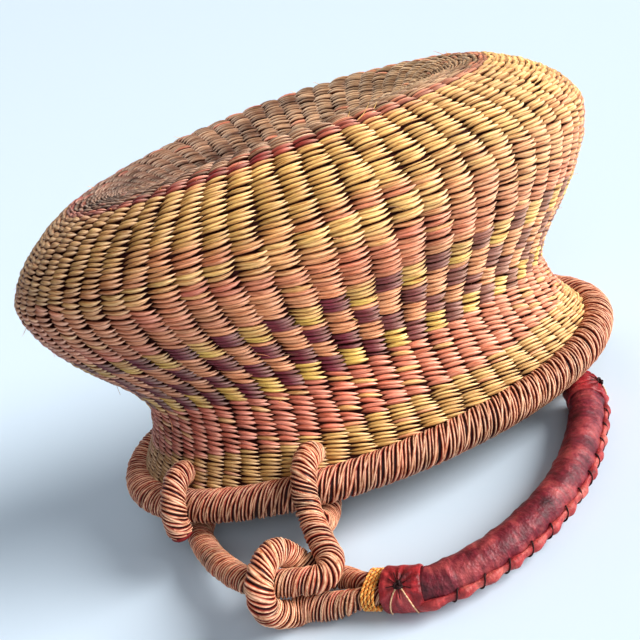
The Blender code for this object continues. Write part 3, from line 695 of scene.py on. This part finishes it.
def wrap(batch, path, radius, pitch, starts, palette, closed=False, hand=1, height=0.0011,
         per_turn=20, seed=0, top_red=0.0, blush=0.0, width=0.42):
    """Strands wound round a path and the core in them, dark with painted shade between the
    strands: radius is one value or one a point.

    The palette runs from its deepest colour to its palest. top_red is how far the upper side
    is dyed redder; blush is the share of the length from the start that is.
    """
    rng = np.random.default_rng(seed)
    if closed:
        path = np.vstack([path, path[:1]])
    radius = np.broadcast_to(np.asarray(radius, float), (len(path),))
    tangent, side, other = frames(path)
    if closed:
        side = sideways(tangent)
        other = np.cross(tangent, side)
    s = arc(path)
    total = s[-1]
    lead = pitch * starts
    if closed:
        lead = total / round(total / lead)
    turns = total / lead
    at = np.linspace(0, total, int(turns * per_turn) + 1)
    spot = read_off(at, s, path)
    t, a, b = (unit(read_off(at, s, values)) for values in (tangent, side, other))
    r = np.interp(at, s, radius)
    bend = np.gradient(tangent, axis=0) / np.maximum(np.gradient(s), 1e-9)[:, None]
    bend = read_off(at, s, bend)
    ring = angles(8) - pi / 2
    # Painted shade: each strand dark down its sides and into the gaps, bright on its top
    shade = 0.03 + 1.14 * np.clip(0.08 + 0.92 * np.sin(ring), 0, 1) ** 2.8
    turn_no = at / lead
    grid = np.arange((int(turns) + 3) * 2) / 2
    for start in range(starts):
        angle = hand * 2 * pi * turn_no + 2 * pi * start / starts
        uneven = np.interp(turn_no, grid, rng.random(len(grid))) - 0.5
        radial = np.cos(angle)[:, None] * a + np.sin(angle)[:, None] * b
        sweep = hand * (-np.sin(angle)[:, None] * a + np.cos(angle)[:, None] * b)
        d = unit(t * (lead / (2 * pi * r))[:, None] + sweep)
        across = np.cross(d, radial)
        deep = height * (0.92 + 0.25 * uneven)
        centre = (spot + (r - height * 0.9 + height * 0.35 * uneven)[:, None] * radial
                  + t * (uneven * pitch * 0.50)[:, None])
        opened = np.clip(1 - r * np.sum(bend * radial, axis=1), 0.75, 1.7)
        half = pitch * np.cos(np.arctan(lead / (2 * pi * r))) * width * (1.0 + 0.40 * uneven)
        half = half * opened
        rings = (centre[:, None] + (half[:, None] * np.cos(ring))[..., None] * across[:, None]
                 + (deep[:, None] * np.sin(ring))[..., None] * radial[:, None])
        far = grid * lead
        pale = (0.44 + 0.24 * np.sin(far / 0.0042 + seed) + 0.14 * np.sin(far / 0.0013)
                + 0.60 * (rng.random(len(grid)) - 0.5))
        pale = np.clip(pale, 0, 1) * (len(palette) - 1)
        base = read_off(pale, range(len(palette)), palette)
        base = base * (0.62 + 0.46 * rng.random((len(grid), 1)))
        tint = read_off(turn_no, grid, base)
        if top_red:
            tint = mixed(tint, RIM_RED, np.clip(radial[:, 2], 0, 1) * top_red)
        if blush:
            tint = mixed(tint, RIM_RED, np.clip((blush - at / total) / 0.08, 0, 1) * 0.70)
        # Each strand's top turns cream: worn dye and a painted highlight
        batch.one(rings, tint, turn_no * 2 * pi * r + start * 0.37, shade=shade, crown=0.62)
    # The core, dark with painted shade between the strands
    batch.one(hoops(path, radius - height * 1.15, side, other, 12), GAP_SHADE_DARK, s)


# Layers of a wrap: how far it stands off, pitch, starts, height, width, and what its seed adds
RIM_LAYERS = ((0.0002, 0.00178, 9, 0.0010, 0.36, 0), (0.0003, 0.0052, 5, 0.0008, 0.17, 10))
CORD_LAYERS = ((0.0001, 0.00156, 7, 0.0010, 0.36, 0), (0.0002, 0.0056, 3, 0.0008, 0.17, 20))
WRAP_STREAK = (300, 5, 1)


def bind(batch, path, radius, layers, seed, **more):
    """A close wrap and a few strands that cross over it, wound with the same hand."""
    for off, pitch, starts, height, width, add_seed in layers:
        wrap(batch, path, radius + off, pitch, starts, ROPE_PALETTE, hand=-1, height=height,
             width=width, seed=seed + add_seed, **more)


def knob(batch, centre, direction, radius, tint):
    """A cut end of wrapped rope: three turns of strand that close over the end."""
    side = unit(np.cross(direction, (0.3, 0.5, 0.8)))
    other = np.cross(direction, side)
    at = np.linspace(0, 1, 60)
    angle = at * 2 * pi * 3
    r = radius * (1 - at * 0.97)
    dome = 0.0006 + 0.9 * radius * np.sqrt(1 - (r / radius) ** 2) * 0.35
    path = (centre + direction * dome[:, None]
            + r[:, None] * (np.cos(angle)[:, None] * side + np.sin(angle)[:, None] * other))
    tube(batch, path, radius * 0.22, tint)


def dense(points, spacing):
    """Even points on a smooth curve through points of any number of values."""
    p = np.array(points, float)
    ends = np.vstack([p[:1], p, p[-1:]])
    out = [curve(*ends[i:i + 4], f) for i in range(len(p) - 1) for f in np.arange(12) / 12]
    out = np.array([*out, p[-1]])
    s = arc(out[:, :3])
    at = np.linspace(0, s[-1], max(3, ceil(s[-1] / spacing) + 1))
    return read_off(at, s, out)


def bezier(a, b, c, d, count):
    u = np.linspace(0, 1, count + 1)[:, None]
    a, b, c, d = (np.array(v) for v in (a, b, c, d))
    return [Vector(p) for p in (1 - u) ** 3 * a + 3 * (1 - u) ** 2 * u * b
            + 3 * (1 - u) * u * u * c + u ** 3 * d]


# ---- Lines of the yokes and of the handle, in the yoke's own directions

FEET = [Vector((RIM_A * cos(a), RIM_B * sin(a), 0)) for a in FOOT_ANGLES]
MIDDLE = (FEET[0] + FEET[1]) / 2
ALONG = (FEET[1] - FEET[0]).normalized()
HALF = (FEET[1] - FEET[0]).length / 2
OUTWARD = Vector((ALONG.y, -ALONG.x, 0))
BAR = MIDDLE + BAR_RACK * ALONG + BAR_REACH * OUTWARD + BAR_RISE * UP
# From the front yoke to the back one
CHORD = -2 * MIDDLE


def placed(points, origin):
    """Points given along, outward and up from an origin, put in the row frame."""
    out = []
    for p in points:
        along, outward, rise = (float(value) for value in p)
        out.append(FRAME + origin + along * ALONG + outward * OUTWARD + rise * UP)
    return np.array(out)


def loop_arc(along, start, stop):
    out = []
    for k in range(17):
        angle = radians(start + (stop - start) * k / 16)
        out.append(Vector((along, LOOP_R * cos(angle), LOOP_R * sin(angle))))
    return out


def yoke_line(lift=1):
    """Left loop, leg, bar, bend, leg and right loop; lift -1 turns the right loop over."""
    left = loop_arc(-HALF, *LEFT_LOOP)
    leave = radians(LEFT_LOOP[1])
    leave = Vector((0.35, -sin(leave), cos(leave))).normalized()
    bar_left = Vector((BAR_RACK - BAR_LEFT, BAR_REACH, BAR_RISE))
    corner = Vector((BAR_RACK + BAR_RIGHT, BAR_REACH, BAR_RISE))
    along = Vector((1, 0, 0))
    left_leg = bezier(left[-1], left[-1] + LEFT_LEG_LEAD * leave,
                      bar_left - LEFT_BAR_LEAD * along, bar_left, 12)
    right = [Vector((p[0], p[1], lift * p[2])) for p in loop_arc(HALF, *RIGHT_LOOP)]
    arrive = radians(RIGHT_LOOP[0])
    arrive = Vector((0, -sin(arrive), lift * cos(arrive)))
    target = right[0] - RIGHT_RIM_LEAD * arrive
    leg = (target - corner).normalized()
    turn = along.angle(leg)
    cut_back = BAR_BEND * tan(turn / 2)
    lead = 4 / 3 * tan(turn / 4) * BAR_BEND
    start, end = corner - cut_back * along, corner + cut_back * leg
    bend = bezier(start, start + lead * along, end - lead * leg, end, 8)
    right_leg = bezier(end, end + RIGHT_LEG_LEAD * leg, target, right[0], 8)
    bar = [bar_left.lerp(start, k / 4) for k in range(1, 4)]
    return left + left_leg[1:] + bar + bend + right_leg[1:-1] + right


def handle_points():
    reach = CHORD.length / 2
    side = Vector((CHORD.y, -CHORD.x, 0)).normalized()
    direction = CHORD.normalized()
    level = CUFF_R - RIM_LIFT - BAR_RISE
    out = []
    for far, away in ARCH_SHARES:
        world = (1 + far) * reach * direction + away * ARCH_HEIGHT * side
        out.append(Vector((world.dot(ALONG), world.dot(OUTWARD), level)))
    return out


LINE = [Vector(p) for p in dense(handle_points(), HANDLE_R / 4)]
END = len(LINE) - 1
STEP = (LINE[1] - LINE[0]).length
# Places on LINE: the ends of a lashing and of a collar, and how far the back ones are set in
LASH = ceil(LASH_TURNS * LASH_PITCH / STEP) + 1
COLLAR = LASH + ceil(COLLAR_LENGTH / STEP)
SETBACK = ceil(BACK_SETBACK / STEP)
# How far the sleeve is tucked into a collar
TUCK = (COLLAR - LASH) // 3
ROPE_R = HANDLE_R - LEATHER - GAP


def strand_pair(a, b):
    """Half the way from one strand of an eye's neck to the other."""
    run = (b - a).normalized()
    return Vector((run.y, -run.x, 0)) * STRAND_SPACING / 2


def eye_route(shares, start, thin):
    """Places and girths round an eye, half way to thin at its two ends."""
    ends = (0, len(shares) - 1)
    return [(start + EYE_R * Vector(share), (1 + thin) / 2 if k in ends else 1)
            for k, share in enumerate(shares)]


def core_line():
    """The rope: a tail, the front eye, the arch, the back eye and a tail.

    Each row is a place along, outward and up from the bar, and a radius.
    """
    tail = LASH + 1
    seat = COLLAR - TUCK
    front = strand_pair(LINE[0], LINE[LASH])
    back = strand_pair(LINE[END], LINE[END - LASH])
    thin, full = STRAND_R / CORD_R, ROPE_R / CORD_R
    far = Vector((CHORD.dot(ALONG), CHORD.dot(OUTWARD), 0))
    route = [(LINE[k] + front, thin) for k in range(tail, -1, -2)]
    route += eye_route(EYE_FRONT, Vector((0, 0, 0)), thin)[::-1]
    for k in range(0, END + 1, 2):
        share = min(max((min(k, END - k) - tail - 2) / (seat - tail - 2), 0), 1)
        side = front if k < END / 2 else back
        route.append((LINE[k] - (1 - share) * side, thin + (full - thin) * share))
    route += eye_route(EYE_BACK, far, thin)
    route += [(LINE[k] + back, thin) for k in range(END, END - tail - 1, -2)]
    return dense([(*p, w * CORD_R) for p, w in route], CORD_R / 4)


# ---- Wrapped rim, yokes and rope

def rim():
    count = 720
    u = angles(count)
    path = np.stack([RIM_A * np.cos(u), RIM_B * np.sin(u), 0 * u], -1) + np.array(FRAME)
    batch = Batch()
    bind(batch, path, RIM_R, RIM_LAYERS, 3, closed=True, per_turn=23, top_red=0.45)
    batch.make("rim_wrap", grass("rim_grass", 0.5, 0.0004, WRAP_STREAK), "basket", "rim_binding")
    inner = Batch()
    out = unit(np.stack([RIM_B * np.cos(u), RIM_A * np.sin(u), 0 * u], -1))
    rings = hoops(path, CORE_R, out, np.broadcast_to(VERTICAL, path.shape), 12)
    ridge = 1 + 0.05 * np.sin(angles(12) * 4)[:, None]
    rings = path[:, None] + (rings - path[:, None]) * ridge
    # The core bundle, dark with painted shade between the strands of the wrap
    inner.one(rings, GAP_SHADE_DARK * 2, np.arange(count) * 0.0008, closed=True)
    inner.make("rim_bundle", grass("rim_core_grass", 0.8), "basket", "rim_core")


def yokes():
    material = grass("rope_grass", 0.48, 0.0004, WRAP_STREAK)
    for name, origin, lift, body, seed in (("yoke_front", MIDDLE, 1, "yoke_front_body", 5),
                                           ("yoke_back", -MIDDLE, -1, "yoke_back_body", 6)):
        path = dense(placed(yoke_line(lift), origin), 0.0012)
        batch = Batch()
        bind(batch, path, CORD_R, CORD_LAYERS, seed, per_turn=26, blush=0.33)
        for end, nxt in ((0, 1), (-1, -2)):
            direction = unit(path[end] - path[nxt])
            knob(batch, path[end], direction, CORD_R * 0.86, ROPE_PALETTE[0])
        batch.make("wrapped_" + name, material, body, name)


def rope():
    route = core_line()
    path, radius = placed(route[:, :3], BAR), route[:, 3]
    inside = np.where(radius > 0.99 * ROPE_R)[0]
    batch = Batch()
    for first, last in ((0, inside[0] + 8), (inside[-1] - 8, len(path) - 1)):
        part = slice(first, last + 1)
        bind(batch, path[part], radius[part], CORD_LAYERS, 9 + first, per_turn=26)
    batch.make("wrapped_rope", grass("handle_grass", 0.48, 0.0004, WRAP_STREAK), "handle",
               "handle_core")


# ---- Leather grip, collars, seam, lashings, knots

GRIP_LEAN = radians(-12)
STITCH_PITCH = 0.0105
# Creases of the grip: depth, how close they lie along it, how much round it, and a shift
CREASES = ((0.00045, 170, 1.1, 0), (0.00028, 420, 2.0, 7), (0.00030, 60, 1.6, 3))
THREAD_STREAK = (900, 4, 1)


def sweep_frame(line):
    """Places, directions ahead and level directions out of the arch along a line."""
    p = placed(line, BAR)
    ahead = unit(np.gradient(p, axis=0))
    out = sideways(ahead)
    centre = np.array(FRAME) * np.array((1, 1, 0))
    if np.dot(out[len(out) // 2], p[len(p) // 2] - centre) < 0:
        out = -out
    return p, ahead, out


def fine(line, count):
    """count even points of a line, and how far along it they are."""
    pts = np.array([tuple(p) for p in line])
    s = arc(pts)
    at = np.linspace(0, s[-1], count)
    return read_off(at, s, pts), at


def outwards(a, out):
    """Direction round the grip: out of the arch at angle 0, up at a quarter turn."""
    return cos(a) * out + sin(a) * VERTICAL


def crinkle(x, y, z):
    return noise.noise(Vector((x, y, z)))


def sleeve():
    count, sides = 420, 56
    line, at = fine(LINE[COLLAR - TUCK:END - COLLAR - SETBACK + TUCK + 1], count)
    p, _, out = sweep_frame(line)
    rings = np.zeros((count, sides, 3))
    for j in range(sides):
        a = 2 * pi * j / sides - pi
        wave = np.array([sum(deep * crinkle(s * rate, wide * cos(a) + shift, wide * sin(a))
                             for deep, rate, wide, shift in CREASES) for s in at])
        near = abs(half_turn(a - GRIP_LEAN))
        tight = 0.00035 * np.exp(-(near / 0.5) ** 2) * np.cos(2 * pi * at / STITCH_PITCH)
        r = HANDLE_R + wave + tight - 0.00006
        rings[:, j] = p + r[:, None] * outwards(a, out)
    batch = Batch()
    batch.one(rings, 1.0, at)
    batch.make("grip_sleeve", leather("grip_leather", *GRIP_LEATHER, 0.48), "handle",
               "leather_sleeve")
    seam(at, p, out)


def seam(at, p, out):
    """The lapped edge along the outer side, pinched by a whip stitch, and the stitches."""
    normal = outwards(GRIP_LEAN, out)
    across = -sin(GRIP_LEAN) * out + cos(GRIP_LEAN) * VERTICAL
    base = HANDLE_R + 0.0001
    puff = 0.5 - 0.5 * np.cos(2 * pi * at / STITCH_PITCH)
    ring = angles(14)
    ragged = np.array([crinkle(s * 260, 5, 9) for s in at])
    tall = 0.0009 + 0.0011 * puff + 0.0004 * ragged
    wide = 0.0019 + 0.0005 * puff + 0.0003 * ragged
    rings = (p[:, None] + normal[:, None] * (base + tall[:, None, None]
                                             * (0.3 + np.sin(ring)[:, None]))
             + across[:, None] * wide[:, None, None] * np.cos(ring)[:, None])
    batch = Batch()
    batch.one(rings, 1.0, at)
    batch.make("seam_edge", leather("edge_leather", *EDGE_LEATHER, 0.5), "handle", "seam_flap")
    # A stitch's slant along the edge, height over it, reach to each side and thread radius
    slant, height, reach, girth = 0.0040, 0.00155, 0.0027, 0.00036
    threads = Batch()
    for k in range(1, int(at[-1] / STITCH_PITCH)):
        i = np.searchsorted(at, k * STITCH_PITCH)
        i2 = min(np.searchsorted(at, k * STITCH_PITCH + slant), len(at) - 1)
        path = []
        for q in np.linspace(0, 1, 14):
            angle = pi * (q * 1.36 - 0.18)
            spot = p[i] * (1 - q) + p[i2] * q
            path.append(spot + normal[i] * (base + height * sin(angle))
                        - across[i] * reach * cos(angle))
        tube(threads, dense(path, 0.0004), girth, SEAM_THREAD)
    threads.make("whip_stitches", grass("dark_thread", 0.7, 0.0002, THREAD_STREAK), "handle",
                 "seam_lacing")


def collars():
    skin = leather("collar_leather", *COLLAR_LEATHER, 0.42)
    for name, part in (("front", LINE[LASH:COLLAR + 1]),
                       ("back", LINE[END - COLLAR - SETBACK:END - LASH - SETBACK + 1])):
        count, sides = 64, 96
        line, at = fine(part, count)
        p, ahead, out = sweep_frame(line)
        hub = count // 2
        lean = KNOT_LEAN[name]
        lip = -0.0005 * (np.clip(1 - at / 0.0012, 0, 1) ** 2
                         + np.clip(1 - (at[-1] - at) / 0.0012, 0, 1) ** 2)
        rings = np.zeros((count, sides, 3))
        for j in range(sides):
            a = 2 * pi * j / sides - pi
            du = at - at[hub]
            dv = half_turn(a - lean) * CUFF_R
            reach = np.sqrt(du ** 2 + dv ** 2) + 1e-9
            bearing = np.arctan2(dv, du)
            pleat = np.cos(12 * bearing + 1.2 * np.sin(3 * bearing))
            fold = 0.00060 * pleat * np.clip(reach / 0.002, 0, 1) * np.exp(-reach / 0.008)
            dip = -0.0006 * np.exp(-(reach / 0.0016) ** 2)
            wave = np.array([0.00022 * crinkle(s * 300, 1.5 * cos(a), 1.5 * sin(a)) for s in at])
            r = CUFF_R + fold + dip + wave + lip
            rings[:, j] = p + r[:, None] * outwards(a, out)
        first, last = (p[k] + 0.93 * (rings[k] - p[k]) for k in (0, -1))
        batch = Batch()
        batch.one(np.array([first, *rings, last]), 1.0, np.array([0, *at, at[-1]]))
        batch.make("collar_skin_" + name, skin, "handle", "collar_" + name)
        knot(name, p[hub], ahead[hub], out[hub], lean)


def knot(name, middle, ahead, out, lean):
    """A small dark thread knot with threads that run out over the pleats."""
    normal = outwards(lean, out)
    side = np.cross(ahead, normal)
    base = middle + normal * CUFF_R
    batch = Batch()
    turn = np.linspace(0, 2 * pi, 90)
    path = (base + normal * 0.0007
            + 0.00052 * ((np.sin(turn) + 2 * np.sin(2 * turn))[:, None] * ahead
                         + (np.cos(turn) - 2 * np.cos(2 * turn))[:, None] * side
                         - 1.1 * np.sin(3 * turn)[:, None] * normal))
    tube(batch, path, 0.00052, KNOT_THREAD)
    rng = np.random.default_rng(4)
    for k in range(9):
        bearing = 2 * pi * k / 9 + 0.25 * rng.random()
        reach = 0.0042 + 0.0016 * rng.random()
        flat = cos(bearing) * ahead + sin(bearing) * side
        thread = []
        for q in np.linspace(0, 1, 10):
            d = reach * q
            sag = CUFF_R - np.sqrt(max(CUFF_R ** 2 - (sin(bearing) * d) ** 2, 0))
            thread.append(base + flat * d + normal * (0.0004 - sag - 0.0002 * q))
        tube(batch, thread, 0.00018, KNOT_END)
    for way in (-1, 1):
        loose = []
        for q in np.linspace(0, 1, 12):
            loose.append(middle + ahead * way * 0.0052 * sin(q * pi / 2) ** 0.8
                         + (CUFF_R + 0.0004) * outwards(lean - 1.45 * q, out))
        tube(batch, loose, 0.00030, LOOSE_THREAD)
    batch.make("thread_knot_" + name, grass("knot_thread", 0.65, 0.0002, THREAD_STREAK), "handle",
               "collar_knot_" + name)


def lashings():
    """Gold cord of two plies, wound round the two strands of each neck."""
    material = grass("gold_cord", 0.42, 0.0003, (1400, 4, 1))
    # The turns' pitch, and the plies' length of one twist, distance from the middle and radius
    pitch, twist_length, ply_off, ply_r = 0.00148, 0.0030, 0.00030, 0.00038
    for name, part in (("front", LINE[:LASH + 1]), ("back", LINE[END:END - LASH - 1:-1])):
        side = strand_pair(part[0], part[-1])
        centre = (part[0] + part[-1]) / 2
        ahead = (part[-1] - part[0]).normalized()
        out = side.normalized()
        up = ahead.cross(out)
        reach = STRAND_R + LASH_SLACK + LASH_R
        turns = LASH_TURNS + 0.5
        u = np.linspace(0, 1, 60 * LASH_TURNS)
        angle = 2 * pi * turns * u
        spread = STRAND_SPACING / 2 * np.clip(2 * np.cos(angle), -1, 1)
        path = (np.array(centre) + ((u - 0.5) * turns * pitch)[:, None] * np.array(ahead)
                + (spread + reach * np.cos(angle))[:, None] * np.array(out)
                + (reach * np.sin(angle))[:, None] * np.array(up))
        path = placed([Vector(q) for q in path], BAR)
        path = dense(path[::2], 0.0004)
        _, a, b = frames(path)
        s = arc(path)
        batch = Batch()
        for ply in range(2):
            twist = 2 * pi * s / twist_length + pi * ply
            shape = path + ply_off * (np.cos(twist)[:, None] * a + np.sin(twist)[:, None] * b)
            tube(batch, shape, ply_r, GOLD[ply])
        batch.make("gold_lashing_" + name, material, "handle", "lashing_" + name)


def frays():
    """Loose grass ends that stand off the wall."""
    batch = Batch()
    rng = np.random.default_rng(21)
    taper = 0.00022 * (1 - 0.75 * np.linspace(0, 1, 8))
    for _ in range(90):
        u = rng.random() * 2 * pi
        p = 1.5 + rng.random() * 15
        start = surf(u, p)
        n = surf_normal(np.array(u), np.array(p))
        around = unit(surf(u + 0.02, p) - start)
        up = unit(surf(u, p + 0.1) - start)
        length = 0.0025 + 0.0055 * rng.random()
        turn = rng.random() * 1.2 - 0.6
        path = []
        for q in np.linspace(0, 1, 8):
            path.append(start + n * (-0.0004 + length * (0.35 * q + 0.25 * q * q))
                        + around * length * q * cos(turn) + up * length * sin(turn) * q * q)
        tint = (STRAW, TAN, PEACH, STRAW_LOW)[rng.integers(0, 4)] * 1.1
        tube(batch, path, taper, tint, 5)
    batch.make("loose_ends", grass("fray_grass", 0.6), "basket")


# ---- Stage, light and camera

def floor():
    size = 30.0
    mesh = bpy.data.meshes.new("floor")
    mesh.from_pydata([(-size, -size, 0), (size, -size, 0), (size, size, 0), (-size, size, 0)], [],
                     [(0, 1, 2, 3)])
    item = add("floor", mesh)
    made, _, shader = graph("floor_paint")
    for key, value in (("Base Color", (*lin(212, 228, 242), 1)), ("Roughness", 0.9),
                       ("Specular IOR Level", 0.1)):
        shader.inputs[key].default_value = value
    mesh.materials.append(made)


def lamp(name, kind, place, aim, power, colour):
    light = bpy.data.lights.new(name, kind)
    light.energy = power
    light.color = colour
    item = add(name, light)
    item.location = place
    item.rotation_euler = (Vector(aim) - Vector(place)).to_track_quat("-Z", "Y").to_euler()
    return light


def lights():
    world = bpy.data.worlds.new("room")
    bpy.context.scene.world = world
    world.use_nodes = True
    back = world.node_tree.nodes["Background"]
    back.inputs[0].default_value = (0.86, 0.93, 1.0, 1)
    back.inputs[1].default_value = 0.20
    # Two far soft suns, whose angle sets how soft their shadows are, and one near panel
    part = (0, 0, 0)
    key = lamp("key", "SUN", (4.0, -1.35, 2.30), part, 5.9, (1.0, 0.985, 0.965))
    key.angle = radians(40)
    rear = lamp("back", "SUN", (-0.8, 3.0, 2.6), part, 0.55, (0.92, 0.96, 1.0))
    rear.angle = radians(60)
    panel = lamp("front", "AREA", (-0.1, -2.5, 1.7), (-0.03, -0.1, 0), 23, (0.95, 0.97, 1.0))
    panel.shape = "DISK"
    panel.size = 1.8


def camera():
    azimuth, rise, roll = radians(-3.65), radians(24.0), radians(20.0)
    target = Vector((-0.0108, 0, 0.0434)) + FRAME
    distance, sensor, half_view = 0.4651, 36, radians(18)
    back = Vector((sin(azimuth) * cos(rise), -cos(azimuth) * cos(rise), sin(rise)))
    right = (-back).cross(UP).normalized()
    up = right.cross(-back)
    turned = right * cos(roll) - up * sin(roll)
    upper = right * sin(roll) + up * cos(roll)
    data = bpy.data.cameras.new("camera")
    data.sensor_width = sensor
    data.lens = sensor / 2 / tan(half_view)
    item = add("camera", data)
    pose = Matrix((turned, upper, back)).transposed().to_4x4()
    pose.translation = target + back * distance
    item.matrix_world = pose
    bpy.context.scene.camera = item


wall()
rim()
yokes()
rope()
sleeve()
collars()
lashings()
frays()
floor()
lights()
camera()
bpy.context.scene.view_settings.view_transform = "Standard"
